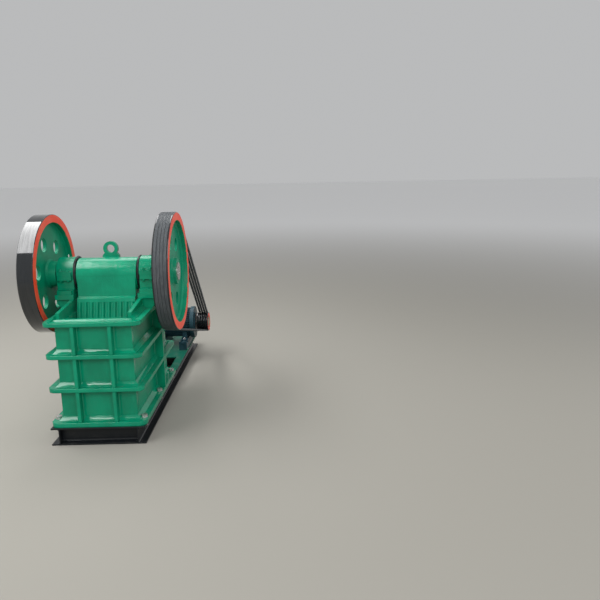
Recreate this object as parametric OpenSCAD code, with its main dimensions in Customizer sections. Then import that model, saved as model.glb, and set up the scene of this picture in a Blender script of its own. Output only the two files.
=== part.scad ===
// Small jaw crusher on a channel skid, with its motor and V-belt drive.
// Millimetres, +Z up. The origin is under the middle of the skid, on the ground.
// +X points to the belt-wheel side and -Y to the front wall.
// Distances written as "behind the skid's front" are turned into Y by fy().

/* [Skid] */
// Length of the skid
skid_l = 2025; // [1900:5:2200]
// How far the skid's flange tips lie inside the edge of the body's base flange
skid_inset = 3; // [0:1:8]
// Height of the rolled channels
channel_h = 100; // [80:5:120]
// Flange width of the rolled channels
channel_b = 48; // [46:1:60]
// Web thickness of the rolled channels
channel_web = 6; // [5:0.5:8]
// Flange thickness of the rolled channels
channel_flange = 8; // [6:0.5:11]
// Thickness of the deck plate on the rear half
deck_t = 8; // [6:1:12]
// Length of the deck's opening in front of the motor
deck_open_l = 280; // [240:5:300]
// Width of the deck beside its opening
deck_strip = 56; // [50:1:80]
// Radius of the bolts that hold the body to the skid
bolt_r = 10; // [8:0.5:11]

/* [Welded body] */
// Feed opening between the cheek plates
feed_w = 351; // [330:1:380]
// Thickness of the cheek plates
cheek_t = 12; // [8:1:14]
// Thickness of the side walls
side_t = 22; // [16:1:24]
// Thickness of the front and rear walls
wall_t = 25; // [20:1:30]
// Front wall's face behind the skid's front
wall_d = 65; // [60:1:80]
// Length of the body over its front and rear walls
body_l = 870; // [840:5:900]
// Thickness of the flange that the body stands on
base_t = 26; // [20:1:32]
// How far the ribs stand out of the walls
rib_out = 56; // [40:1:60]
// Thickness of the ribs that run round the body
rib_t = 22; // [16:1:26]
// Underside of the lowest rib
rib_z_low = 304; // [290:1:320]
// Underside of the middle rib
rib_z_mid = 494; // [480:1:510]
// Underside of the top rib
rib_z_top = 676; // [665:1:680]
// Corner radius of the ribs and of the base flange
rib_corner_r = 46; // [30:1:80]
// Thickness of the upright ribs and gussets
upright_t = 20; // [14:1:24]
// Spacing of the two upright ribs on the front wall
upright_gap = 202; // [180:1:220]
// Top of the front wall
front_top = 706; // [704:1:712]
// Top of the side walls just behind the front wall
side_top = 735; // [725:1:745]
// Top of the rear wall
rear_top = 560; // [530:1:600]

/* [Jaws] */
// Feed gape between the two jaw plates at the top
gape = 200; // [180:1:215]
// Gap between the two jaw plates at the bottom
discharge_gap = 32; // [25:1:45]
// Thickness of the jaw plates without their teeth
plate_t = 30; // [24:1:34]
// Height of the teeth
tooth_h = 12; // [8:1:15]
// Pitch of the teeth
tooth_pitch = 34; // [28:1:40]
// Lower end of the jaw plates
jaw_z0 = 180; // [170:1:200]
// Upper end of the fixed jaw plate
fixed_jaw_z1 = 690; // [670:1:700]
// Upper end of the swing jaw plate
swing_jaw_z1 = 745; // [730:1:750]
// Height of the wedge bar that clamps the swing jaw plate from above
clamp_h = 38; // [30:1:42]
// Clearance of the swing jaw to each cheek plate
jaw_side_gap = 5.5; // [5:0.5:8]
// Thickness of the swing jaw's front slab
jaw_slab = 46; // [36:1:50]
// Thickness of the ribs behind the slab
jaw_rib_t = 20; // [14:1:26]
// Radius of the swing jaw's barrel
barrel_r = 100; // [95:1:104]
// Outer radius of the lifting eye
eye_r = 44; // [40:1:50]
// Radius of the lifting eye's hole
eye_hole_r = 24; // [20:1:28]
// Thickness of the lifting eye
eye_t = 24; // [18:1:30]

/* [Shaft and wheels] */
// Shaft axis behind the skid's front
shaft_d = 481; // [470:1:495]
// Height of the shaft axis
shaft_z = 896; // [880:1:910]
// Throw of the eccentric
throw = 8; // [5:1:10]
// Radius of the shaft in the bearing housings
journal_r = 45; // [42:1:48]
// Radius of the eccentric part inside the swing jaw
eccentric_r = 58; // [56:1:62]
// Radius of the shaft in the wheel hubs
seat_r = 38; // [32:1:40]
// Radial running clearance of the shaft
shaft_fit = 0.05; // [0.02:0.01:0.1]
// Diameter of the flywheel and the belt wheel
wheel_d = 710; // [680:5:730]
// Width of the wheel rims
rim_w = 91; // [86:1:96]
// Radial thickness of the wheel rims
rim_t = 52; // [40:1:60]
// Thickness of the wheel webs
web_t = 22; // [16:1:28]
// Radius of the holes in the wheel webs
web_hole_r = 42; // [30:1:46]
// Number of holes in each wheel web
web_holes = 6; // [4:1:6]
// Outer radius of the wheel hubs
hub_r = 80; // [70:1:90]
// Distance over the outer faces of the two wheels
wheels_span = 830; // [800:5:860]

/* [Bearings] */
// Outer radius of the bearing housings
housing_r = 100; // [96:1:104]
// Half length of the housings' bolting flanges, fore and aft
housing_half_l = 115; // [110:1:125]
// Thickness of the bolting flanges
housing_flange_t = 26; // [20:1:30]
// Thickness of the round covers on the housings' outer ends
cover_t = 6.5; // [5:0.5:8]
// Thickness of the plates that the housings stand on
seat_t = 30; // [24:1:36]

/* [Toggle and tension rod] */
// Length of the toggle plate between the centres of its round ends
toggle_l = 300; // [280:5:310]
// Width of the toggle plate
toggle_w = 250; // [220:5:270]
// Thickness of the toggle plate
toggle_t = 26; // [20:1:28]
// Radius of the toggle plate's round ends
toggle_nose_r = 16; // [15:1:18]
// Slope of the toggle plate in degrees
toggle_rise = 8; // [6:0.5:10]
// Distance from the toggle plate's rear end to the box beam
beam_gap = 76; // [70:1:90]
// Height of the box beam behind the toggle seat
beam_h = 180; // [160:5:190]
// Wall thickness of the box beam
beam_t = 22; // [16:1:28]
// Height of the tension rod
rod_z = 172; // [168:1:178]
// Radius of the tension rod
rod_r = 11; // [9:0.5:12]
// Length of the tension spring between its seats
spring_l = 110; // [90:5:130]
// Outer radius of the tension spring
spring_r = 26; // [24:1:30]
// Radius of the spring's wire
wire_r = 3.5; // [2.5:0.25:4]

/* [Drive] */
// Outer diameter of the motor pulley
motor_pulley_d = 150; // [140:2:170]
// Pitch of the belt grooves
groove_pitch = 19; // [18.5:0.5:20]
// Number of V-belts
belts = 4; // [3:1:4]
// Top width of a V-belt
belt_w = 17; // [15:0.5:17]
// Depth of a V-belt
belt_h = 11; // [10:0.5:12]

/* [Motor] */
// Motor axis behind the skid's front
motor_d = 1690; // [1670:5:1720]
// Height of the motor axis
motor_z = 285; // [280:1:300]
// Height of the motor axis over its feet
motor_centre_h = 132; // [130:1:140]
// Radius of the motor's end shields
motor_r = 126; // [120:1:128]
// Length of the motor over its end shields
motor_l = 330; // [300:5:340]
// Number of cooling fins round the motor
fins = 40; // [32:4:48]
// Height of the cooling fins
fin_h = 14; // [10:1:16]
// Length of the fan cover
fan_cover_l = 85; // [70:1:90]
// Width of the slide rails under the motor
rail_w = 60; // [50:1:64]
// Length of the slide rails
rail_l = 420; // [380:5:440]

/* [Hidden] */

$fn = 96;

green = [0.07, 0.55, 0.37];
black = [0.06, 0.06, 0.07];
navy = [0.08, 0.14, 0.24];
steel = [0.55, 0.56, 0.58];

// Clearances
run_gap = 6;
bolt_gap = 1;
seal_gap = 1.5;
toggle_gap = 0.2;
plate_gap = 0.05;
motor_gap = 12;

// Y of a place that is d behind the skid's front
function fy(d) = d - skid_l / 2;

// Turns a pair [distance behind the skid's front, height] into Y and Z
function yz(p) = [fy(p[0]), p[1]];

// Body, from the inside out
inner_x = feed_w / 2 + cheek_t;
body_x = inner_x + side_t;
rib_x = body_x + rib_out;
rear_d = wall_d + body_l;
base_z1 = channel_h + base_t;
rib_z = [rib_z_low, rib_z_mid, rib_z_top];
rib_z1 = [for (z = rib_z) z + rib_t];
top_rib = len(rib_z) - 1;
upright_inset = 4;
ledge_h = 20;

// Bays between the ribs, from the base flange up
bays = [for (i = [0:top_rib]) [i == 0 ? base_z1 : rib_z1[i - 1], rib_z[i]]];

// Skid
skid_x = rib_x - skid_inset;
web_x = skid_x - channel_b;

// Base bolts stand in the middle of the channels' top flanges
bolt_x = skid_x - (channel_b - channel_web) / 2;
bolt_edge = 22;
bolt_behind_shaft = 30;
bolt_d = [wall_d + bolt_edge, shaft_d + bolt_behind_shaft, rear_d - bolt_edge];
bolt_hole_r = bolt_r + bolt_gap;
bolt_head_r = 1.7 * bolt_r;
bolt_head_h = 1.3 * bolt_r;
bolt_nut_h = 1.6 * bolt_r;
bolt_end = 0.6 * bolt_r;
bolt_washer_r = 2 * bolt_r;
bolt_washer_t = 3;

// Wheels and housings along the shaft, from the wheels' outer faces inwards
hub_in = 20;
hub_face = 3;
end_plate_r = 54;
end_plate_t = 5;
wheel_r = wheel_d / 2;
wheel_x1 = wheels_span / 2;
wheel_x0 = wheel_x1 - rim_w;
web_hole_ring = (hub_r + wheel_r - rim_t) / 2;
cover_r = 76;
cover_x1 = wheel_x0 - hub_in - run_gap;
housing_x1 = cover_x1 - cover_t;
housing_in = 6;
housing_x0 = inner_x + housing_in;
housing_w = housing_x1 - housing_x0;
housing_inset = 8;

// Seat plates with a stop block at each end of the housing
stop_t = 18;
stop_h = 22;
stop_gap = 0.3;
seat_edge = 8;
seat_under = 6;
seat_out = 4;
seat_z1 = shaft_z - housing_r - seat_under;
seat_z0 = seat_z1 - seat_t;
seat_half_l = housing_half_l + stop_gap + stop_t + seat_edge;
seat_x1 = housing_x1 + seat_out;
gusset_off = 105;
top_rib_tail = 60;

// Jaws: the swing jaw hangs on the eccentric, which points straight down at rest
jaw_z = shaft_z - throw;
jaw_x = feed_w / 2 - jaw_side_gap;
barrel_out = 6;
barrel_x = jaw_x + barrel_out;
fixed_face_d = wall_d + wall_t + plate_t + tooth_h;
swing_top_d = fixed_face_d + gape;
swing_low_d = fixed_face_d + discharge_gap;
nip = atan((swing_top_d - swing_low_d) / (swing_jaw_z1 - jaw_z0));
swing_plate_l = (swing_jaw_z1 - jaw_z0) / cos(nip);
jaw_lip = 15;
cheek_behind_low = 75;
cheek_behind_high = 60;

// Place behind the swing jaw plate, s along it from its lower end
function plate_back(s, out = 0) = let (back = plate_t + tooth_h + plate_gap + out) [
  swing_low_d + s * sin(nip) + back * cos(nip),
  jaw_z0 + s * cos(nip) - back * sin(nip),
];

// Lifting eye, behind the barrel's crown
eye_back = 50;
eye_neck = 4;
eye_z = jaw_z + barrel_r + eye_r + eye_neck;
eye_foot_half_w = 1.15 * eye_r;
eye_foot_h = 1.6 * eye_t;
eye_neck_half_w = 0.8 * eye_r;

// Toggle plate: its front end lies in the jaw's pit with room for the throw
toggle_seat_s = 130;
toggle_pit_room = 5;
toggle_pit_h = toggle_nose_r + throw + toggle_pit_room;
toggle_pit_corner_r = 3;
toggle_pit_back = 66;
toggle_flare = 6;
boss_behind = 8;
boss_half_h = 42;
boss_below = 72;
boss_above = 90;
jaw_rib_s = 60;
toggle_front = plate_back(toggle_seat_s, jaw_slab + toggle_pit_back);
boss_z = toggle_front[1] - throw;
toggle_rear = toggle_front + toggle_l * [cos(toggle_rise), sin(toggle_rise)];
beam_d0 = toggle_rear[0] + beam_gap;
beam_z0 = toggle_rear[1] - beam_h / 2;
shims = 4;
shim_t = 5;
seat_block_h = 100;
seat_block_w = toggle_w + 40;
seat_block_ahead = 6;
seat_mouth_l = 60;

// Tension rod: its front eye goes round a pin between two lugs of the swing jaw
rod_gap = 8;
rod_pin_r = 8;
rod_ahead = 14;
rod_eye_wall = 8;
rod_eye_d = toggle_front[0] - rod_ahead;
rod_eye_room = 8;
rod_eye_hole_r = rod_pin_r + throw + rod_eye_room;
rod_eye_r = rod_eye_hole_r + rod_eye_wall;
rod_eye_t = 24;
rod_lug_gap = 8;
rod_lug_t = 14;
rod_lug_x = rod_eye_t / 2 + rod_lug_gap;
rod_lug_r = 20;
rod_pin = [rod_eye_d, rod_z - throw];
rod_nut_r = 1.6 * rod_r;
rod_nut_h = 0.9 * rod_r;
rod_tail = 24;
spring_seat_t = 8;
spring_seat_r = spring_r + 6;
spring_d0 = rear_d + spring_seat_t;
spring_d1 = spring_d0 + spring_l;

// Tension spring's turns
open_turns = 5;
coil_turns = open_turns + 2;
coil_steps = 18;
wire_sides = 8;
close_pitch = 2 * wire_r + 0.4;
open_pitch = (spring_l - 2 * close_pitch) / open_turns;

// Drive
pulley_r = motor_pulley_d / 2;
belt_proud = 1;
groove_gap = 0.4;
groove_under = 3;
belt_angle = 20;
axis_run = [motor_d - shaft_d, motor_z - shaft_z];
axis_gap = norm(axis_run);
belt_r1 = wheel_r + belt_proud;
belt_r2 = pulley_r + belt_proud;
belt_lean = atan2(axis_run[1], axis_run[0]);
belt_wrap = acos((belt_r1 - belt_r2) / axis_gap);
belt_run = sqrt(pow(axis_gap, 2) - pow(belt_r1 - belt_r2, 2));
groove_x = [for (i = [0:belts - 1]) wheel_x0 + rim_w / 2 + (i - (belts - 1) / 2) * groove_pitch];

// Motor
motor_shaft_r = 19;
shield_w = 30;
fin_t = 4;
fin_root_r = motor_r - 10 - fin_h;
motor_x1 = wheel_x0 - motor_gap;
motor_x0 = motor_x1 - motor_l;
shaft_depth = 60;
foot_w = 56;
foot_t = 20;
foot_pitch = 178;
foot_in = 70;
foot_x = [motor_x0 + foot_in, motor_x0 + foot_in + foot_pitch];
foot_half_l = 140;
foot_z0 = motor_z - motor_centre_h;
deck_z1 = channel_h + deck_t;
box_in = 90;
box_x0 = motor_x0 + box_in;
box_l = 130;
box_half_w = 60;
box_sink = 8;
box_z0 = motor_z + motor_r - box_sink;
box_h = 56;
box_lid_t = 12;

// Slide rails
rail_slot_w = 16;
rail_wall = 8;
rail_lug_t = 16;
rail_lug_h = 20;
rail_screw_r = 6;

// Deck
deck_gap = 0.5;
deck_edge = 25;
deck_short = 20;
deck_d0 = rear_d + rib_out + deck_gap;
deck_d1 = skid_l - deck_short;
deck_open_d0 = deck_d0 + deck_edge;
cross_under_body = 10;
cross_before_rail = 2;
rail_d0 = motor_d - rail_l / 2;
cross_d = [rear_d - cross_under_body, rail_d0 - channel_b - cross_before_rail, skid_l - channel_b];

// Extrudes a YZ outline along +X from x0
module along_x(x0, length) {
  translate([x0, 0, 0]) rotate([90, 0, 90]) linear_extrude(length) children();
}

// Extrudes an XZ outline along +Y from y0
module along_y(y0, length) {
  translate([0, y0 + length, 0]) rotate([90, 0, 0]) linear_extrude(length) children();
}

// Turns a shape made round Z so that it lies round the shaft line
module on_shaft(z = shaft_z) {
  translate([0, fy(shaft_d), z]) rotate([0, 90, 0]) children();
}

// Turns a shape made round Z so that it lies round the motor's axis
module on_motor() {
  translate([0, fy(motor_d), motor_z]) rotate([0, 90, 0]) children();
}

// Turns a shape made along Z so that it lies along the tension rod, from d backwards
module on_rod(d) {
  translate([0, fy(d), rod_z]) rotate([-90, 0, 0]) children();
}

// Copies a shape to the -X side too
module both_sides() {
  children();
  mirror([1, 0, 0]) children();
}

// Plan outline of the body grown by out, with round corners of radius r
module body_plan(out, r) {
  x = body_x + out;
  d0 = wall_d - out;
  d1 = rear_d + out;
  square_x = x - r;
  union() {
    translate([-square_x, fy(d0)]) square([2 * square_x, d1 - d0]);
    translate([-x, fy(d0 + r)]) square([2 * x, d1 - d0 - 2 * r]);
    for (sx = [-1, 1], d = [d0 + r, d1 - r]) translate([sx * square_x, fy(d)]) circle(r);
  }
}

// Section of a rolled channel: web on the left, open to the right
module channel_section() {
  difference() {
    square([channel_b, channel_h]);
    translate([channel_web, channel_flange]) square([channel_b, channel_h - 2 * channel_flange]);
  }
}

module base_bolt_places() {
  both_sides() for (d = bolt_d) translate([bolt_x, fy(d), channel_h]) children();
}

module skid_beam_right() {
  color(black) difference() {
    along_y(fy(0), skid_l) translate([web_x, 0]) channel_section();
    base_bolt_places() cylinder(r = bolt_hole_r, h = 3 * channel_flange, center = true);
  }
}

module skid_beam_left() {
  mirror([1, 0, 0]) skid_beam_right();
}

// The front beam lies between the webs and opens to the front
module skid_front_beam() {
  color(black) along_x(-web_x, 2 * web_x)
    translate([fy(channel_b), 0]) mirror([1, 0]) channel_section();
}

// One under the body's rear, one in front of the motor and one at the rear end
module skid_cross_beams() {
  color(black) for (d = cross_d)
    along_x(-web_x, 2 * web_x) translate([fy(d), 0]) channel_section();
}

module base_flange() {
  color(green) difference() {
    translate([0, 0, channel_h]) linear_extrude(base_t) difference() {
      body_plan(rib_out, rib_corner_r);
      translate([-inner_x, fy(wall_d + wall_t)]) square([2 * inner_x, body_l - 2 * wall_t]);
    }
    base_bolt_places() cylinder(r = bolt_hole_r, h = 3 * base_t, center = true);
  }
}

// Hexagon bolts that hold the base flange to the channels, each with its nut below
module base_bolts() {
  nut_z1 = -channel_flange;
  end_z = nut_z1 - bolt_nut_h - bolt_end;
  head_z = base_t + bolt_washer_t;
  color(green) base_bolt_places() union() {
    translate([0, 0, base_t]) cylinder(r = bolt_washer_r, h = bolt_washer_t);
    translate([0, 0, head_z]) cylinder(r = bolt_head_r, h = bolt_head_h, $fn = 6);
    translate([0, 0, nut_z1 - bolt_nut_h]) cylinder(r = bolt_head_r, h = bolt_nut_h, $fn = 6);
    translate([0, 0, end_z]) cylinder(r = bolt_r, h = head_z - end_z);
  }
}

// Front wall with the ledge that the fixed jaw plate stands on
module front_wall() {
  color(green) union() {
    translate([-body_x, fy(wall_d), base_z1]) cube([2 * body_x, wall_t, front_top - base_z1]);
    translate([-inner_x, fy(wall_d + wall_t), jaw_z0 - ledge_h]) cube([2 * inner_x, plate_t, ledge_h]);
  }
}

// Side walls rise from the front wall to the bearing seat and fall to the rear wall
module side_wall_right() {
  d0 = wall_d + wall_t;
  d1 = rear_d - wall_t;
  color(green) along_x(inner_x, side_t) polygon([
    [fy(d0), base_z1], [fy(d1), base_z1], [fy(d1), rear_top],
    [fy(shaft_d + seat_half_l), seat_z0], [fy(shaft_d - seat_half_l), seat_z0],
    [fy(d0), side_top],
  ]);
}

module side_wall_left() {
  mirror([1, 0, 0]) side_wall_right();
}

// Rear wall, with the seat of the tension spring round the rod's hole
module rear_wall() {
  color(green) difference() {
    union() {
      translate([-body_x, fy(rear_d - wall_t), base_z1])
        cube([2 * body_x, wall_t, rear_top - base_z1]);
      on_rod(rear_d) cylinder(r = spring_seat_r, h = spring_seat_t);
    }
    on_rod(rear_d) cylinder(r = rod_r + rod_gap, h = 3 * wall_t, center = true);
  }
}

// Plan of one rib level, kept to the stretch between two distances
module rib_plan(d0, d1) {
  intersection() {
    difference() {
      body_plan(rib_out, rib_corner_r);
      translate([-body_x, fy(wall_d)]) square([2 * body_x, body_l]);
    }
    translate([-rib_x, fy(d0)]) square([2 * rib_x, d1 - d0]);
  }
}

module front_ribs() {
  color(green) for (z = rib_z)
    translate([0, 0, z]) linear_extrude(rib_t) rib_plan(wall_d - rib_out, wall_d);
}

// The top rib ends where the side wall slopes down
module side_ribs_right() {
  top_rib_end = shaft_d + seat_half_l + top_rib_tail;
  color(green) for (i = [0:top_rib]) translate([0, 0, rib_z[i]]) linear_extrude(rib_t)
    intersection() {
      rib_plan(wall_d, i == top_rib ? top_rib_end : rear_d);
      translate([0, fy(0)]) square([rib_x, skid_l]);
    }
}

module side_ribs_left() {
  mirror([1, 0, 0]) side_ribs_right();
}

module rear_ribs() {
  color(green) for (i = [0:top_rib - 1])
    translate([0, 0, rib_z[i]]) linear_extrude(rib_t) rib_plan(rear_d, rear_d + rib_out);
}

module front_uprights() {
  depth = rib_out - upright_inset;
  color(green) for (sx = [-1, 1], bay = bays)
    translate([sx * upright_gap / 2 - upright_t / 2, fy(wall_d - depth), bay[0]])
      cube([upright_t, depth, bay[1] - bay[0]]);
}

// Gussets between the ribs, and a pair that carries each bearing seat
module side_gussets() {
  rear_d0 = shaft_d + gusset_off;
  front_d0 = shaft_d - gusset_off - upright_t;
  x1 = seat_x1 - upright_inset;
  color(green) both_sides() {
    for (bay = bays) translate([body_x, fy(rear_d0), bay[0]])
      cube([rib_out, upright_t, bay[1] - bay[0]]);
    for (d = [front_d0, rear_d0]) along_y(fy(d), upright_t) polygon([
      [body_x, rib_z1[top_rib]], [rib_x, rib_z1[top_rib]],
      [x1, seat_z0 - upright_t], [x1, seat_z0], [body_x, seat_z0],
    ]);
  }
}

module bearing_seats() {
  stop_d = [shaft_d - housing_half_l - stop_gap - stop_t, shaft_d + housing_half_l + stop_gap];
  color(green) both_sides() union() {
    translate([inner_x, fy(shaft_d - seat_half_l), seat_z0])
      cube([seat_x1 - inner_x, 2 * seat_half_l, seat_t]);
    for (d = stop_d) translate([housing_x0 + housing_inset, fy(d), seat_z1])
      cube([housing_w - 2 * housing_inset, stop_t, stop_h]);
  }
}

// Room for the shaft in a housing
module shaft_bore() {
  on_shaft() cylinder(r = journal_r + shaft_fit, h = 3 * wheels_span, center = true);
}

// Lower half of a housing: foot, body and bolting flange, bored for the shaft
module bearing_base_right() {
  foot_h = housing_flange_t - 4;
  body_half_l = housing_r - 6;
  body_h = shaft_z - seat_z1;
  color(green) difference() {
    union() {
      along_x(housing_x0, housing_w) union() {
        translate([fy(shaft_d - body_half_l), seat_z1]) square([2 * body_half_l, body_h]);
        translate([fy(shaft_d - housing_half_l), seat_z1]) square([2 * housing_half_l, foot_h]);
      }
      translate([housing_x0 + housing_inset, fy(shaft_d - housing_half_l), shaft_z - housing_flange_t])
        cube([housing_w - 2 * housing_inset, 2 * housing_half_l, housing_flange_t]);
    }
    shaft_bore();
  }
}

module bearing_base_left() {
  mirror([1, 0, 0]) bearing_base_right();
}

// Upper half: a half round cap with a bolting flange on each side
module bearing_cap_right() {
  color(green) difference() {
    union() {
      on_shaft() translate([0, 0, housing_x0]) cylinder(r = housing_r, h = housing_w);
      translate([housing_x0 + housing_inset, fy(shaft_d - housing_half_l), shaft_z])
        cube([housing_w - 2 * housing_inset, 2 * housing_half_l, housing_flange_t]);
    }
    shaft_bore();
    translate([0, fy(shaft_d - housing_half_l), shaft_z - 2 * housing_r])
      cube([2 * housing_x1, 2 * housing_half_l, 2 * housing_r]);
  }
}

module bearing_cap_left() {
  mirror([1, 0, 0]) bearing_cap_right();
}

// Round covers on the outer ends of the housings
module bearing_covers() {
  color(green) both_sides() difference() {
    on_shaft() translate([0, 0, housing_x1]) cylinder(r = cover_r, h = cover_t);
    on_shaft() cylinder(r = journal_r + seal_gap, h = 3 * wheels_span, center = true);
  }
}

// Black seal rings between the housings and the swing jaw's barrel
module shaft_seals() {
  seal_x0 = barrel_x + jaw_side_gap;
  color(black) both_sides() difference() {
    on_shaft() translate([0, 0, seal_x0]) cylinder(r = housing_r - 2, h = housing_x0 - seal_x0);
    on_shaft() cylinder(r = journal_r + seal_gap, h = 3 * wheels_span, center = true);
  }
}

// Plan of a toothed plate: back face at y = 0, teeth towards +y
module tooth_plan(half_w) {
  count = floor(2 * half_w / tooth_pitch);
  flank = tooth_pitch * 0.22;
  land = tooth_pitch / 2 - flank;
  x0 = -count * tooth_pitch / 2;
  teeth = [for (i = [0:count - 1]) let (x = x0 + i * tooth_pitch) each [
    [x + land / 2, plate_t], [x + land / 2 + flank, plate_t + tooth_h],
    [x + land * 1.5 + flank, plate_t + tooth_h], [x + land * 1.5 + 2 * flank, plate_t],
  ]];
  polygon(concat([[-half_w, 0], [-half_w, plate_t]], teeth, [[half_w, plate_t], [half_w, 0]]));
}

module fixed_jaw_plate() {
  color(green) translate([0, fy(wall_d + wall_t), jaw_z0])
    linear_extrude(fixed_jaw_z1 - jaw_z0) tooth_plan(inner_x - 0.5);
}

// Tooth tips of the swing jaw plate lie on the line from swing_low_d to swing_top_d
module swing_jaw_plate() {
  color(green) translate([0, fy(swing_low_d), jaw_z0]) rotate([-nip, 0, 0])
    translate([0, plate_t + tooth_h, 0]) rotate([0, 0, 180])
      linear_extrude(swing_plate_l) tooth_plan(jaw_x);
}

// Wedge bar that holds the swing jaw plate down on the jaw's lower lip
module jaw_clamp_bar() {
  front = -plate_t - 2;
  color(green) along_x(-jaw_x, 2 * jaw_x) polygon([
    yz(plate_back(swing_plate_l + plate_gap)), yz(plate_back(swing_plate_l + plate_gap, front)),
    yz(plate_back(swing_plate_l + clamp_h * 0.6, front)),
    yz(plate_back(swing_plate_l + clamp_h, front / 2)), yz(plate_back(swing_plate_l + clamp_h)),
  ]);
}

module cheek_plates() {
  d0 = fixed_face_d + 0.5;
  color(steel) both_sides() along_x(feed_w / 2, cheek_t) polygon([
    [fy(d0), jaw_z0], [fy(swing_low_d + cheek_behind_low), jaw_z0],
    [fy(swing_top_d + cheek_behind_high), fixed_jaw_z1], [fy(d0), fixed_jaw_z1],
  ]);
}

// Section of the pit in the jaw's boss, open to the rear, round the toggle plate's
// end in the middle of its throw
module toggle_pit() {
  inner = toggle_pit_h - toggle_pit_corner_r;
  translate([-inner, -toggle_pit_h]) square([inner + toggle_pit_back, 2 * toggle_pit_h]);
  translate([-toggle_pit_h, -inner]) square([toggle_pit_corner_r, 2 * inner]);
  for (z = [-inner, inner]) translate([-inner, z]) circle(toggle_pit_corner_r);
}

// Cast swing jaw: barrel, front slab, ribs behind it and the lower toggle boss
module swing_jaw() {
  lip_front = -plate_t + 4;
  lip_low = plate_back(-jaw_lip - 1, lip_front);
  lip_high = plate_back(-1, lip_front);
  seat_low = plate_back(-1);
  low_back = plate_back(-jaw_lip - 1, jaw_slab);
  high = plate_back(swing_plate_l + clamp_h);
  high_front = plate_back(swing_plate_l + clamp_h, lip_front / 2);
  boss_low = plate_back(toggle_seat_s - boss_below, jaw_slab);
  boss_high = plate_back(toggle_seat_s + boss_above, jaw_slab);
  boss_d = toggle_front[0] + boss_behind;
  rib_low = plate_back(jaw_rib_s, jaw_slab);
  rib_x0 = [-jaw_x, -jaw_x / 3 - jaw_rib_t / 2, jaw_x / 3 - jaw_rib_t / 2, jaw_x - jaw_rib_t];
  color(green) difference() {
    union() {
      on_shaft(jaw_z) cylinder(r = barrel_r, h = 2 * barrel_x, center = true);
      along_x(-jaw_x, 2 * jaw_x) polygon([
        yz(lip_low), yz(low_back), [fy(shaft_d - barrel_r / 10), jaw_z - 0.6 * barrel_r],
        [fy(shaft_d - barrel_r), jaw_z], yz(high_front), yz(high), yz(seat_low), yz(lip_high),
      ]);
      for (x = rib_x0) along_x(x, jaw_rib_t) polygon([
        yz(rib_low), [fy(boss_d), boss_z + boss_half_h / 2],
        [fy(shaft_d + barrel_r), jaw_z], [fy(shaft_d - 0.4 * barrel_r), jaw_z - 0.4 * barrel_r],
      ]);
      along_x(-jaw_x + jaw_rib_t, 2 * (jaw_x - jaw_rib_t)) polygon([
        yz(boss_low), [fy(boss_d), boss_z - boss_half_h],
        [fy(boss_d), boss_z + boss_half_h], yz(boss_high),
      ]);
      both_sides() along_x(rod_lug_x, rod_lug_t) union() {
        translate(yz(rod_pin)) circle(rod_lug_r);
        translate([fy(rod_pin[0] - rod_lug_r), rod_pin[1]])
          square([2 * rod_lug_r, boss_z - boss_half_h / 2 - rod_pin[1]]);
      }
      along_x(-rod_lug_x, 2 * rod_lug_x) translate(yz(rod_pin)) circle(rod_pin_r);
    }
    on_shaft(jaw_z) cylinder(r = eccentric_r + shaft_fit, h = 3 * wheels_span, center = true);
    along_x(-feed_w, 2 * feed_w) translate([fy(toggle_front[0]), boss_z]) toggle_pit();
  }
}

// Lifting eye on the barrel, a little behind its crown, on a flared neck
module lifting_eye() {
  y = fy(shaft_d + eye_back);
  foot_z = jaw_z + sqrt(pow(barrel_r, 2) - pow(eye_back - eye_t / 2, 2)) - eye_t;
  color(green) difference() {
    union() {
      translate([0, y, eye_z]) rotate([90, 0, 0]) cylinder(r = eye_r, h = eye_t, center = true);
      along_y(y - eye_t / 2, eye_t) polygon([
        [-eye_foot_half_w, foot_z], [eye_foot_half_w, foot_z], [eye_foot_half_w, foot_z + eye_foot_h],
        [eye_neck_half_w, eye_z - 0.5 * eye_r], [-eye_neck_half_w, eye_z - 0.5 * eye_r],
        [-eye_foot_half_w, foot_z + eye_foot_h],
      ]);
    }
    translate([0, y, eye_z]) rotate([90, 0, 0]) cylinder(r = eye_hole_r, h = 3 * eye_t, center = true);
    on_shaft(jaw_z) cylinder(r = barrel_r, h = 2 * barrel_x, center = true);
  }
}

// Shaft: journals and wheel seats on the main axis, eccentric part on the jaw's axis,
// and a round plate on each end that keeps the wheel on
module eccentric_shaft() {
  hub_x1 = wheel_x1 - hub_face - end_plate_t;
  color(steel) union() {
    on_shaft() cylinder(r = journal_r, h = 2 * (wheel_x0 - hub_in), center = true);
    on_shaft() cylinder(r = seat_r, h = 2 * hub_x1, center = true);
    on_shaft(jaw_z) cylinder(r = eccentric_r, h = 2 * barrel_x, center = true);
    both_sides() on_shaft() translate([0, 0, hub_x1]) cylinder(r = end_plate_r, h = end_plate_t);
  }
}

// Half section of a wheel: axis at x = 0, rim from y = 0 (the body's side) to rim_w
module wheel_section() {
  rim_r0 = wheel_r - rim_t;
  mid = rim_w / 2;
  web_y0 = mid - web_t / 2;
  web_y1 = mid + web_t / 2;
  hub_y1 = rim_w - hub_face - end_plate_t;
  fillet = 10;
  draft = 4;
  edge = 3;
  polygon([
    [seat_r, -hub_in], [hub_r - draft, -hub_in], [hub_r, web_y0 - fillet],
    [hub_r + fillet, web_y0], [rim_r0 - fillet, web_y0], [rim_r0, web_y0 - fillet],
    [rim_r0 + draft, 0], [wheel_r - edge, 0], [wheel_r, edge],
    [wheel_r, rim_w - edge], [wheel_r - edge, rim_w], [rim_r0 + draft, rim_w],
    [rim_r0, web_y1 + fillet], [rim_r0 - fillet, web_y1], [hub_r + fillet, web_y1],
    [hub_r, web_y1 + fillet], [hub_r - draft, hub_y1], [seat_r, hub_y1],
  ]);
}

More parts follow.
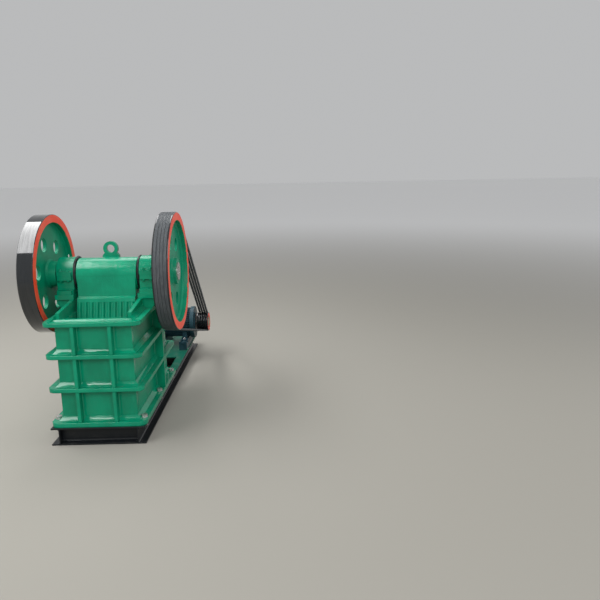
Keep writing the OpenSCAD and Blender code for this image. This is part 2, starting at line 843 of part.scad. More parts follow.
// Section of one V-belt, its back at x = 0
module belt_section(grow = 0, under = 0) {
  depth = belt_h + under;
  half = belt_w / 2 + grow;
  slope = tan(belt_angle);
  polygon([
    [0, -half], [0, half], [-depth, half - depth * slope], [-depth, -half + depth * slope],
  ]);
}

// Groove for one V-belt, open a little past the rim
module groove_section(r) {
  open = belt_proud + 1;
  translate([r + open, 0]) belt_section(groove_gap + (open - belt_proud) * tan(belt_angle),
    groove_under + open - belt_proud);
}

module web_hole_row() {
  first = 20;
  for (i = [0:web_holes - 1]) rotate([0, 0, i * 360 / web_holes + first])
    translate([web_hole_ring, 0, rim_w / 2]) cylinder(r = web_hole_r, h = rim_w, center = true);
}

module flywheel() {
  color(black) mirror([1, 0, 0]) on_shaft() translate([0, 0, wheel_x0]) difference() {
    rotate_extrude() wheel_section();
    web_hole_row();
  }
}

module belt_wheel() {
  color(black) on_shaft() translate([0, 0, wheel_x0]) difference() {
    rotate_extrude() difference() {
      wheel_section();
      for (x = groove_x) translate([0, x - wheel_x0]) groove_section(wheel_r);
    }
    web_hole_row();
  }
}

// Pulley with a dished outer face
module motor_pulley() {
  dish_r0 = 2 * motor_shaft_r;
  dish_r1 = pulley_r - belt_h - 2 * groove_under - 8;
  dish_h = 14;
  color(black) on_motor() translate([0, 0, wheel_x0]) rotate_extrude() difference() {
    translate([motor_shaft_r, 0]) square([pulley_r - motor_shaft_r, rim_w]);
    for (x = groove_x) translate([0, x - wheel_x0]) groove_section(pulley_r);
    polygon([
      [dish_r0, rim_w + 1], [dish_r0, rim_w - dish_h + 4], [dish_r0 + 4, rim_w - dish_h],
      [dish_r1 - 4, rim_w - dish_h], [dish_r1, rim_w + 1],
    ]);
  }
}

module motor_shaft() {
  color(steel) on_motor() translate([0, 0, motor_x1 - shaft_depth])
    cylinder(r = motor_shaft_r, h = wheel_x1 - motor_x1 + shaft_depth);
}

// V-belts, each two wraps and two straight runs
module v_belts() {
  c1 = [fy(shaft_d), shaft_z];
  c2 = [fy(motor_d), motor_z];
  color(black) for (x = groove_x) translate([x, 0, 0]) rotate([90, 0, 90]) union() {
    translate(c1) rotate([0, 0, belt_lean + belt_wrap])
      rotate_extrude(angle = 360 - 2 * belt_wrap) translate([belt_r1, 0]) belt_section();
    translate(c2) rotate([0, 0, belt_lean - belt_wrap])
      rotate_extrude(angle = 2 * belt_wrap) translate([belt_r2, 0]) belt_section();
    translate(c1) rotate([0, 0, belt_lean + belt_wrap]) translate([belt_r1, 0, 0])
      rotate([90, 0, 0]) linear_extrude(belt_run) belt_section();
    translate(c2) rotate([0, 0, belt_lean - belt_wrap]) translate([belt_r2, 0, 0])
      rotate([90, 0, 0]) linear_extrude(belt_run) belt_section();
  }
}

// Section of the motor's frame across its axis: a core with fins all round
module fin_section() {
  union() {
    circle(fin_root_r);
    for (i = [0:fins - 1]) rotate((i + 0.5) * 360 / fins)
      translate([fin_root_r - fin_t, -fin_t / 2]) square([fin_h + fin_t, fin_t]);
  }
}

// Cast motor frame with cooling fins, end shields, feet and the terminal box's pad
module motor_body() {
  ring = 12;
  shield_r = 0.62 * motor_r;
  leg_half_l = 0.75 * motor_r;
  color(navy) difference() {
    union() {
      on_motor() translate([0, 0, motor_x0 + ring]) linear_extrude(motor_l - 2 * ring) fin_section();
      for (x = [motor_x0, motor_x1 - shield_w - ring]) on_motor()
        translate([0, 0, x + ring / 2]) cylinder(r = motor_r, h = shield_w);
      on_motor() translate([0, 0, motor_x1 - shield_w])
        cylinder(r1 = motor_r, r2 = shield_r, h = shield_w);
      on_motor() translate([0, 0, motor_x0]) cylinder(r = shield_r, h = shield_w);
      for (x = foot_x) translate([x - foot_w / 2, fy(motor_d - foot_half_l), foot_z0])
        cube([foot_w, 2 * foot_half_l, foot_t]);
      for (x = foot_x) translate([x - foot_w / 2 + foot_t / 2, fy(motor_d - leg_half_l), foot_z0])
        cube([foot_w - foot_t, 2 * leg_half_l, motor_centre_h - fin_root_r / 2]);
      translate([box_x0, fy(motor_d - box_half_w), motor_z])
        cube([box_l, 2 * box_half_w, box_z0 - motor_z]);
    }
    on_motor() translate([0, 0, motor_x1 - shaft_depth - 2])
      cylinder(r = motor_shaft_r + shaft_fit, h = 2 * shaft_depth);
  }
}

// Sheet cover over the fan, with a rounded edge and rings of air slots in its end
module motor_fan_cover() {
  r = motor_r - 4;
  edge = 18;
  slot = 5;
  slots = 5;
  slot_r0 = 20;
  slot_pitch = 15;
  color(navy) on_motor() translate([0, 0, motor_x0 - fan_cover_l]) rotate_extrude() difference() {
    union() {
      translate([0, edge]) square([r, fan_cover_l - edge]);
      square([r - edge, fan_cover_l]);
      translate([r - edge, edge]) circle(edge - 0.01);
    }
    for (i = [0:slots - 1]) translate([slot_r0 + i * slot_pitch, -slot]) square([slot, 2 * slot]);
  }
}

// Terminal box on its pad: case, overhanging lid and one gland for the mains lead
module terminal_box() {
  lid = 4;
  gland_r = 12;
  gland_l = 26;
  y0 = fy(motor_d - box_half_w);
  color(navy) union() {
    translate([box_x0, y0, box_z0]) cube([box_l, 2 * box_half_w, box_h]);
    translate([box_x0 - lid, y0 - lid, box_z0 + box_h])
      cube([box_l + 2 * lid, 2 * (box_half_w + lid), box_lid_t]);
    translate([box_x0 + box_l / 2, y0 + 2 * box_half_w, box_z0 + box_h / 2]) rotate([-90, 0, 0]) {
      cylinder(r = gland_r * 1.3, h = gland_l / 2, $fn = 6);
      cylinder(r = gland_r, h = gland_l);
    }
  }
}

// Slide rails under the motor's feet: hollow, slotted on top, with a lug and a
// screw at the front that pushes the motor back to tighten the belts
module motor_rails() {
  rail_h = foot_z0 - deck_z1;
  foot_d0 = motor_d - foot_half_l;
  end = 24;
  color(green) for (x = foot_x) union() {
    translate([x - rail_w / 2, fy(rail_d0), deck_z1]) difference() {
      cube([rail_w, rail_l, rail_h]);
      translate([rail_wall, end, -1])
        cube([rail_w - 2 * rail_wall, rail_l - 2 * end, rail_h - rail_wall + 1]);
      translate([(rail_w - rail_slot_w) / 2, end, 0]) cube([rail_slot_w, rail_l - 2 * end, rail_h + 1]);
    }
    translate([x - rail_w / 2, fy(rail_d0), foot_z0]) cube([rail_w, rail_lug_t, rail_lug_h]);
    translate([x, fy(rail_d0 - rail_lug_t), foot_z0 + foot_t / 2]) rotate([-90, 0, 0]) {
      cylinder(r = rail_screw_r, h = foot_d0 - rail_d0 + rail_lug_t);
      cylinder(r = 1.7 * rail_screw_r, h = rail_screw_r, $fn = 6);
    }
  }
}

// Deck of plates on the rear half of the skid, open in front of the motor
module motor_deck() {
  color(green) translate([-rib_x, fy(deck_d0), channel_h]) difference() {
    cube([2 * rib_x, deck_d1 - deck_d0, deck_t]);
    translate([deck_strip, deck_open_d0 - deck_d0, -1])
      cube([2 * (rib_x - deck_strip), deck_open_l, deck_t + 2]);
  }
}

// Box beam between the side walls that takes the toggle's thrust
module toggle_beam() {
  depth = rear_d - wall_t - beam_d0;
  color(green) translate([-inner_x, fy(beam_d0), beam_z0]) difference() {
    cube([2 * inner_x, depth, beam_h]);
    translate([-1, beam_t, beam_t]) cube([2 * inner_x + 2, depth, beam_h - 2 * beam_t]);
  }
}

// Seat block with shims behind it, pushed back against the box beam
module toggle_seat() {
  front_d = toggle_rear[0] - seat_block_ahead;
  shim_d0 = beam_d0 - shims * shim_t;
  z0 = toggle_rear[1] - seat_block_h / 2;
  mouth_h = toggle_nose_r + toggle_flare;
  color(steel) difference() {
    union() {
      translate([-seat_block_w / 2, fy(front_d), z0])
        cube([seat_block_w, shim_d0 - front_d, seat_block_h]);
      for (i = [0:shims - 1]) translate([-seat_block_w / 2 + i % 2 * 6, fy(shim_d0 + i * shim_t), z0])
        cube([seat_block_w - i % 2 * 12, shim_t, seat_block_h + (i % 2 == 0 ? 14 : 6)]);
    }
    along_x(-feed_w, 2 * feed_w) union() {
      translate(yz(toggle_rear)) circle(toggle_nose_r + toggle_gap);
      translate([fy(toggle_rear[0] - seat_mouth_l), toggle_rear[1] - mouth_h])
        square([seat_mouth_l, 2 * mouth_h]);
    }
  }
}

// Toggle plate with a round nose at each end
module toggle_plate() {
  color(steel) along_x(-toggle_w / 2, toggle_w) union() {
    translate(yz(toggle_front)) circle(toggle_nose_r);
    translate(yz(toggle_rear)) circle(toggle_nose_r);
    translate(yz(toggle_front)) rotate(toggle_rise) translate([0, -toggle_t / 2])
      square([toggle_l, toggle_t]);
  }
}

// Rod with its front eye, and a washer and two nuts behind the spring
module tension_rod() {
  rod_l = spring_d1 + spring_seat_t + 2 * rod_nut_h + rod_tail - rod_eye_d;
  color(steel) difference() {
    union() {
      on_rod(rod_eye_d) cylinder(r = rod_r, h = rod_l);
      translate([-rod_eye_t / 2, fy(rod_eye_d), rod_z]) rotate([0, 90, 0])
        cylinder(r = rod_eye_r, h = rod_eye_t);
      on_rod(spring_d1) cylinder(r = spring_seat_r, h = spring_seat_t);
      for (i = [0, 1]) on_rod(spring_d1 + spring_seat_t + i * rod_nut_h) rotate([0, 0, 30 * i])
        cylinder(r = rod_nut_r, h = rod_nut_h, $fn = 6);
    }
    translate([0, fy(rod_eye_d), rod_z]) rotate([0, 90, 0])
      cylinder(r = rod_eye_hole_r, h = 3 * rod_eye_t, center = true);
  }
}

// Coil spring: one close turn at each end, ground flat, and open turns between them
// Height of the wire's middle after t turns
function coil_z(t) = t < 1 ? t * close_pitch
  : t < 1 + open_turns ? close_pitch + (t - 1) * open_pitch
  : spring_l - (coil_turns - t) * close_pitch;

// Point k of the wire's round section after t turns, cut off at the ground ends
function coil_point(t, k) = let (
  a = (k + 0.5) * 360 / wire_sides,
  r = spring_r - wire_r + wire_r * cos(a)
) [r * cos(360 * t), r * sin(360 * t), max(0, min(spring_l, coil_z(t) + wire_r * sin(a)))];

module tension_spring() {
  rings = coil_turns * coil_steps;
  points = [for (i = [0:rings], k = [0:wire_sides - 1]) coil_point(i / coil_steps, k)];
  skin = [for (i = [0:rings - 1], k = [0:wire_sides - 1]) let (
    a = i * wire_sides + k,
    b = i * wire_sides + (k + 1) % wire_sides
  ) each [[a, b + wire_sides, a + wire_sides], [a, b, b + wire_sides]]];
  cap = [for (k = [0:wire_sides / 2 - 2]) [k, k + 1, wire_sides - 2 - k, wire_sides - 1 - k]];
  first = [for (q = cap) [q[3], q[2], q[1], q[0]]];
  last = [for (q = cap) [for (k = q) rings * wire_sides + k]];
  color(black) on_rod(spring_d0) polyhedron(points, concat(skin, first, last));
}

skid_beam_left();
skid_beam_right();
skid_front_beam();
skid_cross_beams();
base_flange();
front_wall();
side_wall_left();
side_wall_right();
rear_wall();
front_ribs();
front_uprights();
side_ribs_left();
side_ribs_right();
side_gussets();
rear_ribs();
bearing_seats();
bearing_base_left();
bearing_base_right();
bearing_cap_left();
bearing_cap_right();
bearing_covers();
shaft_seals();
fixed_jaw_plate();
cheek_plates();
toggle_beam();
toggle_seat();
toggle_plate();
tension_rod();
tension_spring();
motor_deck();
motor_rails();
motor_body();
motor_fan_cover();
terminal_box();
base_bolts();
v_belts();
swing_jaw();
swing_jaw_plate();
jaw_clamp_bar();
lifting_eye();
eccentric_shaft();
flywheel();
belt_wheel();
motor_shaft();
motor_pulley();
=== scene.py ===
import math

import bmesh
import bpy
from mathutils import Matrix, Vector, noise


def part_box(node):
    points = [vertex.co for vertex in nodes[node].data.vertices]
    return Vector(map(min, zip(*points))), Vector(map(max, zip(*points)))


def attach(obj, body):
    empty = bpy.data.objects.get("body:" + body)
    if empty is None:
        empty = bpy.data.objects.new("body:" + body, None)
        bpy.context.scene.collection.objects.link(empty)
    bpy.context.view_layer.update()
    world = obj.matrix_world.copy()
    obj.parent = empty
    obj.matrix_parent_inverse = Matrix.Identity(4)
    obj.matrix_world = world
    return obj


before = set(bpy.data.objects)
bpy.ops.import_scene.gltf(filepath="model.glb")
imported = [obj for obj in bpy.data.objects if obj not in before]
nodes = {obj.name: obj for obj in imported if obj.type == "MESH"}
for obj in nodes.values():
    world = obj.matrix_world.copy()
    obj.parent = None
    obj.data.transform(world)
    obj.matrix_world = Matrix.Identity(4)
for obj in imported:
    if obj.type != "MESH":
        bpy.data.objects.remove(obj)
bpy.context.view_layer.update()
print("frame loaded:", len(nodes), "nodes")


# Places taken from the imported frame

sameLevel = 0.0005


def levels(node, axis):
    # the flat levels of a node's corners along one axis, lowest first
    return sorted({round(v.co[axis], 4) for v in nodes[node].data.vertices})


def levelsAt(node, across, value, axis):
    # the same for the corners that lie at one value across the node
    corners = [v.co for v in nodes[node].data.vertices if abs(v.co[across] - value) < sameLevel]
    return sorted({round(corner[axis], 4) for corner in corners})


frontWallLow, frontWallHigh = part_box("front_wall")
flangeLow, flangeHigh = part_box("base_flange")
ribLevels = levels("front_ribs", 2)
ribBottoms = ribLevels[0::2]
ribTops = ribLevels[1::2]
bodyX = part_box("side_wall_right")[1].x
frontY = frontWallLow.y
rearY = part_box("rear_ribs")[0].y
bayFloors = [flangeHigh.z] + ribTops[:-1]

wheelLow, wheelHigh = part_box("belt_wheel")
shaftY = (wheelLow.y + wheelHigh.y) / 2
shaftZ = (wheelLow.z + wheelHigh.z) / 2
wheelRadius = (wheelHigh.z - wheelLow.z) / 2
rimOut = wheelHigh.x

pulleyLow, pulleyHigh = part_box("motor_pulley")
rimIn = pulleyLow.x    # the pulley and the belt wheel's rim start in one plane
motorY = (pulleyLow.y + pulleyHigh.y) / 2
motorZ = (pulleyLow.z + pulleyHigh.z) / 2
pulleyRadius = (pulleyHigh.z - pulleyLow.z) / 2


# Materials: a wire is a socket that can be used in sums

class Wire:
    def __init__(self, tree, socket=None):
        self.tree = tree
        self.socket = socket

    def node(self, kind, settings=None, sockets=None, out=0):
        made = self.tree.nodes.new(kind)
        for name, value in (settings or {}).items():
            setattr(made, name, value)
        for name, value in (sockets or {}).items():
            if isinstance(value, Wire):
                self.tree.links.new(value.socket, made.inputs[name])
            else:
                made.inputs[name].default_value = value
        return Wire(self.tree, made.outputs[out] if len(made.outputs) else None)

    def maths(self, operation, *others):
        return self.node("ShaderNodeMath", {"operation": operation}, dict(enumerate((self,) + others)))

    def __add__(self, other):
        return self.maths("ADD", other)

    def __sub__(self, other):
        return self.maths("SUBTRACT", other)

    def __rsub__(self, other):
        return (self * -1) + other

    def __mul__(self, other):
        return self.maths("MULTIPLY", other)

    def __gt__(self, other):
        return self.maths("GREATER_THAN", other)

    def __lt__(self, other):
        return self.maths("LESS_THAN", other)

    __radd__ = __add__
    __rmul__ = __mul__

    def power(self, exponent):
        return self.maths("POWER", exponent)

    def between(self, low, high):
        # 0 below low, 1 above high, and a soft step between them
        ends = {"Value": self, "From Min": low, "From Max": high}
        return self.node("ShaderNodeMapRange", {"interpolation_type": "SMOOTHSTEP"}, ends)

    def mix(self, under, over):
        # this wire is the share of the colour that lies over
        return self.node("ShaderNodeMix", {"data_type": "RGBA"}, {0: self, 6: under, 7: over}, 2)

    def place(self, stretch=(1, 1, 1)):
        # object coordinates, with a pattern drawn out along an axis where stretch is small
        spot = self.node("ShaderNodeTexCoord", out="Object")
        return spot.node("ShaderNodeMapping", {}, {"Vector": spot, "Scale": stretch})

    def grain(self, spot, scale, detail=3.0, roughness=0.55):
        sockets = {"Vector": spot, "Scale": scale, "Detail": detail, "Roughness": roughness}
        return self.node("ShaderNodeTexNoise", {}, sockets)

    def axis(self, name):
        # one coordinate of a point
        spot = self.node("ShaderNodeTexCoord", out="Object")
        return spot.node("ShaderNodeSeparateXYZ", {}, {0: spot}, name)

    def facing(self, name):
        # one component of the surface's own direction
        normal = self.node("ShaderNodeNewGeometry", out="Normal")
        return normal.node("ShaderNodeSeparateXYZ", {}, {0: normal}, name)

    def bump(self, height, depth, strength, under=None):
        # under is the normal that the bump is laid on
        sockets = {"Height": height, "Distance": depth, "Strength": strength}
        if under is not None:
            sockets["Normal"] = under
        return self.node("ShaderNodeBump", {}, sockets)

    def roundEdge(self, radius):
        return self.node("ShaderNodeBevel", {"samples": 4}, {"Radius": radius})


def newFinish(name):
    material = bpy.data.materials.new(name)
    material.use_nodes = True
    material.node_tree.nodes.clear()
    return material, Wire(material.node_tree)


def finishWith(wire, sockets):
    shader = wire.node("ShaderNodeBsdfPrincipled", {}, sockets)
    wire.node("ShaderNodeOutputMaterial", {}, {"Surface": shader})


colours = {
    "green": (0.001, 0.280, 0.150, 1),
    "greenDeep": (0.001, 0.230, 0.122, 1),
    "greenThin": (0.005, 0.345, 0.198, 1),
    # the deck's green, darkened as painted shade for the shadow between the body and the motor
    "greenShaded": (0.003, 0.105, 0.066, 1),
    "coral": (0.930, 0.070, 0.028, 1),
    "coralThin": (0.940, 0.130, 0.070, 1),
    "black": (0.007, 0.009, 0.011, 1),
    "blackWorn": (0.014, 0.017, 0.018, 1),
    "navy": (0.024, 0.064, 0.084, 1),
    "navyDeep": (0.012, 0.038, 0.050, 1),
    "dust": (0.330, 0.300, 0.250, 1),
    "rubber": (0.048, 0.055, 0.062, 1),
    "rubberDust": (0.092, 0.099, 0.104, 1),
    "steel": (0.560, 0.560, 0.550, 1),
    "steelOil": (0.300, 0.250, 0.150, 1),
}


def tones(*names):
    return [colours[name] for name in names]


# In the finishes below a pattern is its scale, detail and roughness, a range is where it starts
# and is full, and a bump is its depth and strength
enamel = {
    "patches": (7.0, 4.0),
    "patchRange": (0.36, 0.62),
    "brush": (60.0, 3.0),
    "brushStretch": (1, 1, 0.2),
    "brushRange": (0.54, 0.78),
    "brushShare": 0.30,
    "brushDepth": 0.0003,
    "brushStrength": 0.5,
    "dirt": (22.0, 5.0, 0.65),
    "dirtRange": (0.46, 0.74),
    "dustLow": 0.28,
    "dustLowRange": (0.02, 0.13),
    "dustTop": 0.14,
    "dustTopRange": (0.55, 0.9),
    "dustRough": 0.5,
    "roughLow": 0.07,
    "roughHigh": 0.16,
    "wave": (9.0, 1.0),
    "waveBump": (0.0012, 0.35),
    "peel": (260.0, 2.0),
    "peelBump": (0.00008, 0.5),
    "lumps": (46.0, 2.0),
    "lumpStretch": (1, 1, 0.6),
    "lumpLift": 2.2,
    "lumpStrength": 0.5,
    "skin": (120.0, 4.0, 0.6),
    "skinStrength": 0.6,
    "drag": (210.0, 3.0, 0.6),
    "dragStretch": (1, 1, 0.12),
    "dragRange": (0.4, 0.8),
    "dragStrength": 0.7,
}


def enamelPaint(name, colour, deep, thin, castDepth=0.0, cutDepth=0.0, dust=0.5, brushed=1.0,
                dull=0.0, ior=1.38, edge=0.0024):
    # brushed gloss enamel: castDepth gives a casting's skin, cutDepth the drag lines of a cut edge
    material, wire = newFinish(name)
    spot = wire.place()
    patches = wire.grain(spot, *enamel["patches"])
    brush = wire.grain(wire.place(enamel["brushStretch"]), *enamel["brush"])
    tone = patches.between(*enamel["patchRange"]).mix(deep, colour)
    tone = (brush.between(*enamel["brushRange"]) * (enamel["brushShare"] * brushed)).mix(tone, thin)
    low = 1 - wire.axis("Z").between(*enamel["dustLowRange"])
    upward = wire.facing("Z").between(*enamel["dustTopRange"])
    dirt = wire.grain(spot, *enamel["dirt"]).between(*enamel["dirtRange"])
    settled = dirt * (low * enamel["dustLow"] + upward * enamel["dustTop"]) * dust
    tone = settled.mix(tone, colours["dust"])
    gloss = patches * (enamel["roughHigh"] - enamel["roughLow"])
    rough = gloss + settled * enamel["dustRough"] + (enamel["roughLow"] + dull)
    normal = wire.roundEdge(edge)
    normal = wire.bump(wire.grain(spot, *enamel["wave"]), *enamel["waveBump"], normal)
    normal = wire.bump(brush, enamel["brushDepth"], enamel["brushStrength"] * brushed, normal)
    normal = wire.bump(wire.grain(spot, *enamel["peel"]), *enamel["peelBump"], normal)
    if castDepth:
        lumps = wire.grain(wire.place(enamel["lumpStretch"]), *enamel["lumps"])
        normal = wire.bump(lumps, castDepth * enamel["lumpLift"], enamel["lumpStrength"], normal)
        skin = wire.grain(spot, *enamel["skin"])
        normal = wire.bump(skin, castDepth, enamel["skinStrength"], normal)
    if cutDepth:
        drag = wire.grain(wire.place(enamel["dragStretch"]), *enamel["drag"])
        side = 1 - wire.facing("Z").maths("ABSOLUTE").between(*enamel["dragRange"])
        normal = wire.bump(drag * side, cutDepth, enamel["dragStrength"], normal)
    finishWith(wire, {"Base Color": tone, "Roughness": rough, "Normal": normal, "IOR": ior})
    return material


wheelPaint = {
    "faceDepth": 0.004,
    "treadEdge": 0.0035,
    "rimInner": 0.3072,
    "pulleyRim": 0.040,
    "hand": (26.0, 2.0),
    "handReach": 0.0020,
    "patches": (11.0, 4.0),
    "patchRough": 0.05,
    "greenRange": (0.36, 0.64),
    "coralRange": (0.40, 0.70),
    "streak": (9.0, 4.0),
    "streakStretch": (14, 1, 1),
    "streakRange": (0.45, 0.75),
    "coatRange": (0.30, 0.75),
    "coatLoss": 0.40,
    "coatRough": 0.06,
    "faceRough": 0.36,
    "edge": 0.002,
    "skin": (110.0, 4.0, 0.6),
    "skinDepth": 0.0007,
    "skinStrength": 0.45,
    "wave": (14.0, 2.0),
    "waveBump": (0.0006, 0.25),
    "ior": 1.30,
}


def wheelEnamel(name, centreY, centreZ, radius, rimInner, treadRough, coatIor):
    # green web and hub, coral rim faces and a black tread, told apart by radius and side
    material, wire = newFinish(name)
    spot = wire.place()
    y = wire.axis("Y") - centreY
    z = wire.axis("Z") - centreZ
    fromCentre = (y * y + z * z).power(0.5)
    hand = (wire.grain(spot, *wheelPaint["hand"]) - 0.5) * (2 * wheelPaint["handReach"])
    side = wire.axis("X").maths("ABSOLUTE")
    inner = side < rimIn + wheelPaint["faceDepth"]
    outer = side > rimOut - wheelPaint["faceDepth"]
    face = inner.maths("MAXIMUM", outer)
    rim = (fromCentre + hand) > rimInner
    tread = fromCentre > radius - wheelPaint["treadEdge"]
    coral = rim * face * (1 - tread)
    black = (rim * (1 - face)).maths("MAXIMUM", tread)
    patches = wire.grain(spot, *wheelPaint["patches"])
    streak = wire.grain(wire.place(wheelPaint["streakStretch"]), *wheelPaint["streak"])
    green = patches.between(*wheelPaint["greenRange"]).mix(*tones("greenDeep", "green"))
    red = patches.between(*wheelPaint["coralRange"]).mix(*tones("coral", "coralThin"))
    dark = streak.between(*wheelPaint["streakRange"]).mix(*tones("black", "blackWorn"))
    tone = coral.mix(black.mix(green, dark), red)
    rough = black * (treadRough - wheelPaint["faceRough"]) + wheelPaint["faceRough"]
    rough = rough + patches * wheelPaint["patchRough"]
    coat = black * (1 - streak.between(*wheelPaint["coatRange"]) * wheelPaint["coatLoss"])
    skin = wire.grain(spot, *wheelPaint["skin"])
    skinStrength = wheelPaint["skinStrength"] * (1 - black)
    normal = wire.roundEdge(wheelPaint["edge"])
    normal = wire.bump(skin, wheelPaint["skinDepth"], skinStrength, normal)
    normal = wire.bump(wire.grain(spot, *wheelPaint["wave"]), *wheelPaint["waveBump"], normal)
    finishWith(wire, {
        "Base Color": tone, "Roughness": rough, "Normal": normal, "IOR": wheelPaint["ior"],
        "Coat Weight": coat, "Coat Roughness": wheelPaint["coatRough"], "Coat IOR": coatIor,
    })
    return material


belt = {
    "streak": (16.0, 5.0, 0.6),
    "streakStretch": (9, 1, 1),
    "streakRange": (0.40, 0.66),
    "streakShare": 0.75,
    "streakRough": 0.2,
    "fine": (420.0, 2.0),
    "fineRange": (0.5, 0.8),
    "fineShare": 0.25,
    "fineBump": (0.0001, 0.4),
    "rough": 0.55,
    "edge": 0.0012,
    "ior": 1.4,
}


def beltRubber(name):
    # dusty belt backs, with streaks that run round with the belt
    material, wire = newFinish(name)
    streak = wire.grain(wire.place(belt["streakStretch"]), *belt["streak"])
    fine = wire.grain(wire.place(), *belt["fine"])
    worn = streak.between(*belt["streakRange"]) * belt["streakShare"]
    worn = worn + fine.between(*belt["fineRange"]) * belt["fineShare"]
    tone = worn.mix(*tones("rubber", "rubberDust"))
    rough = streak * belt["streakRough"] + belt["rough"]
    normal = wire.bump(fine, *belt["fineBump"], wire.roundEdge(belt["edge"]))
    finishWith(wire, {"Base Color": tone, "Roughness": rough, "Normal": normal, "IOR": belt["ior"]})
    return material


turned = {
    "lines": (18.0, 4.0),
    "lineStretch": (30, 1, 1),
    "lineBump": (0.0002, 0.4),
    "film": (30.0, 4.0),
    "filmRange": (0.4, 0.75),
    "filmRough": 0.15,
    "rough": 0.25,
    "metallic": 0.85,
    "edge": 0.001,
}


def turnedSteel(name, oil):
    # machined steel, with the share of it that an oily film covers
    material, wire = newFinish(name)
    lines = wire.grain(wire.place(turned["lineStretch"]), *turned["lines"])
    film = wire.grain(wire.place(), *turned["film"]).between(*turned["filmRange"])
    tone = (film * oil).mix(*tones("steel", "steelOil"))
    rough = film * turned["filmRough"] + turned["rough"]
    normal = wire.bump(lines, *turned["lineBump"], wire.roundEdge(turned["edge"]))
    finishWith(wire, {
        "Base Color": tone, "Roughness": rough, "Normal": normal, "Metallic": turned["metallic"],
    })
    return material


packing = {
    "fibre": (190.0, 4.0, 0.7),
    "fibreRange": (0.4, 0.7),
    "fibreBump": (0.0012, 0.7),
    "grease": (34.0, 3.0),
    "greaseRange": (0.45, 0.65),
    "greaseShine": 0.45,
    "rough": 0.75,
    "ior": 1.5,
}


def sealFelt(name):
    # black packing smeared with grease
    material, wire = newFinish(name)
    spot = wire.place()
    fibre = wire.grain(spot, *packing["fibre"])
    grease = wire.grain(spot, *packing["grease"]).between(*packing["greaseRange"])
    tone = fibre.between(*packing["fibreRange"]).mix(*tones("black", "blackWorn"))
    rough = packing["rough"] - grease * packing["greaseShine"]
    normal = wire.bump(fibre, *packing["fibreBump"])
    finishWith(wire, {"Base Color": tone, "Roughness": rough, "Normal": normal, "IOR": packing["ior"]})
    return material


greens = tones("green", "greenDeep", "greenThin")
# the deck's darker greens are painted shade
deckShadedGreens = tones("greenShaded", "greenShaded", "greenDeep")
blacks = tones("black", "black", "blackWorn")
navies = tones("navy", "navyDeep", "navy")
platePaint = enamelPaint("plate_enamel", *greens)
# the deck: a darker green as painted shade, plus real settled dust
deckShadeAndDustPaint = enamelPaint("deck_shade_and_dust_enamel", *deckShadedGreens, dust=0.8, dull=0.3, ior=1.28)
ribPaint = enamelPaint("rib_enamel", *greens, cutDepth=0.0005, edge=0.009)
sidePaint = enamelPaint("side_enamel", *greens, cutDepth=0.0005, dust=0.6, dull=0.20, ior=1.30)
castPaint = enamelPaint("casting_enamel", *greens, castDepth=0.0011)
weldPaint = enamelPaint("weld_enamel", *greens, dust=0.1, brushed=0.2, ior=1.46)
lipPaint = enamelPaint("lip_enamel", *greens, castDepth=0.0018, dust=0.2, ior=1.50)
blackPaint = enamelPaint("skid_enamel", *blacks, dust=0.12, brushed=0.15, dull=0.22, ior=1.36)
rootPaint = enamelPaint("root_enamel", *blacks, dust=0.0, brushed=0.1, dull=0.04, ior=1.42)
# the motor's own navy; on the motor's rails it also serves as painted shade under the motor
motorNavyAndRailShade = enamelPaint("motor_enamel_and_rail_shade", *navies, castDepth=0.0007, dust=0.2, dull=0.25, ior=1.28)
wheelPlace = (shaftY, shaftZ, wheelRadius, wheelPaint["rimInner"])
pulleyPlace = (motorY, motorZ, pulleyRadius, wheelPaint["pulleyRim"])
flywheelPaint = wheelEnamel("flywheel_enamel", *wheelPlace, treadRough=0.05, coatIor=1.60)
beltWheelPaint = wheelEnamel("belt_wheel_enamel", *wheelPlace, treadRough=0.30, coatIor=1.5)
pulleyPaint = wheelEnamel("pulley_enamel", *pulleyPlace, treadRough=0.25, coatIor=1.5)
rubber = beltRubber("belt_rubber")
steel = turnedSteel("turned_steel", oil=0.7)
boltSteel = turnedSteel("bolt_steel", oil=0.1)
felt = sealFelt("seal_felt")

finishes = {
    platePaint: ["front_wall", "rear_wall", "bearing_seats", "toggle_beam", "cheek_plates"],
    deckShadeAndDustPaint: ["motor_deck"],
    ribPaint: ["base_flange", "front_ribs", "front_uprights"],
    sidePaint: ["side_wall_left", "side_wall_right", "side_ribs_left", "side_ribs_right", "side_gussets",
                "rear_ribs"],
    castPaint: ["bearing_base_left", "bearing_base_right", "bearing_cap_left", "bearing_cap_right",
                "bearing_covers", "swing_jaw", "swing_jaw_plate", "jaw_clamp_bar", "lifting_eye",
                "fixed_jaw_plate", "toggle_seat", "toggle_plate"],
    blackPaint: ["skid_beam_left", "skid_beam_right", "skid_front_beam", "skid_cross_beams",
                 "tension_spring"],
    # the rails take the motor's dark navy as painted shade, for the shadow under the motor
    motorNavyAndRailShade: ["motor_body", "motor_fan_cover", "terminal_box", "motor_rails"],
    flywheelPaint: ["flywheel"],
    beltWheelPaint: ["belt_wheel"],
    pulleyPaint: ["motor_pulley"],
    rubber: ["v_belts"],
    steel: ["tension_rod", "eccentric_shaft", "motor_shaft"],
    boltSteel: ["base_bolts"],
    felt: ["shaft_seals"],
}
for finish, names in finishes.items():
    for name in names:
        slots = nodes[name].material_slots
        if not slots:
            nodes[name].data.materials.append(finish)
        for slot in slots:
            slot.material = finish
print("finishes given to", sum(len(names) for names in finishes.values()), "nodes")


# New pieces

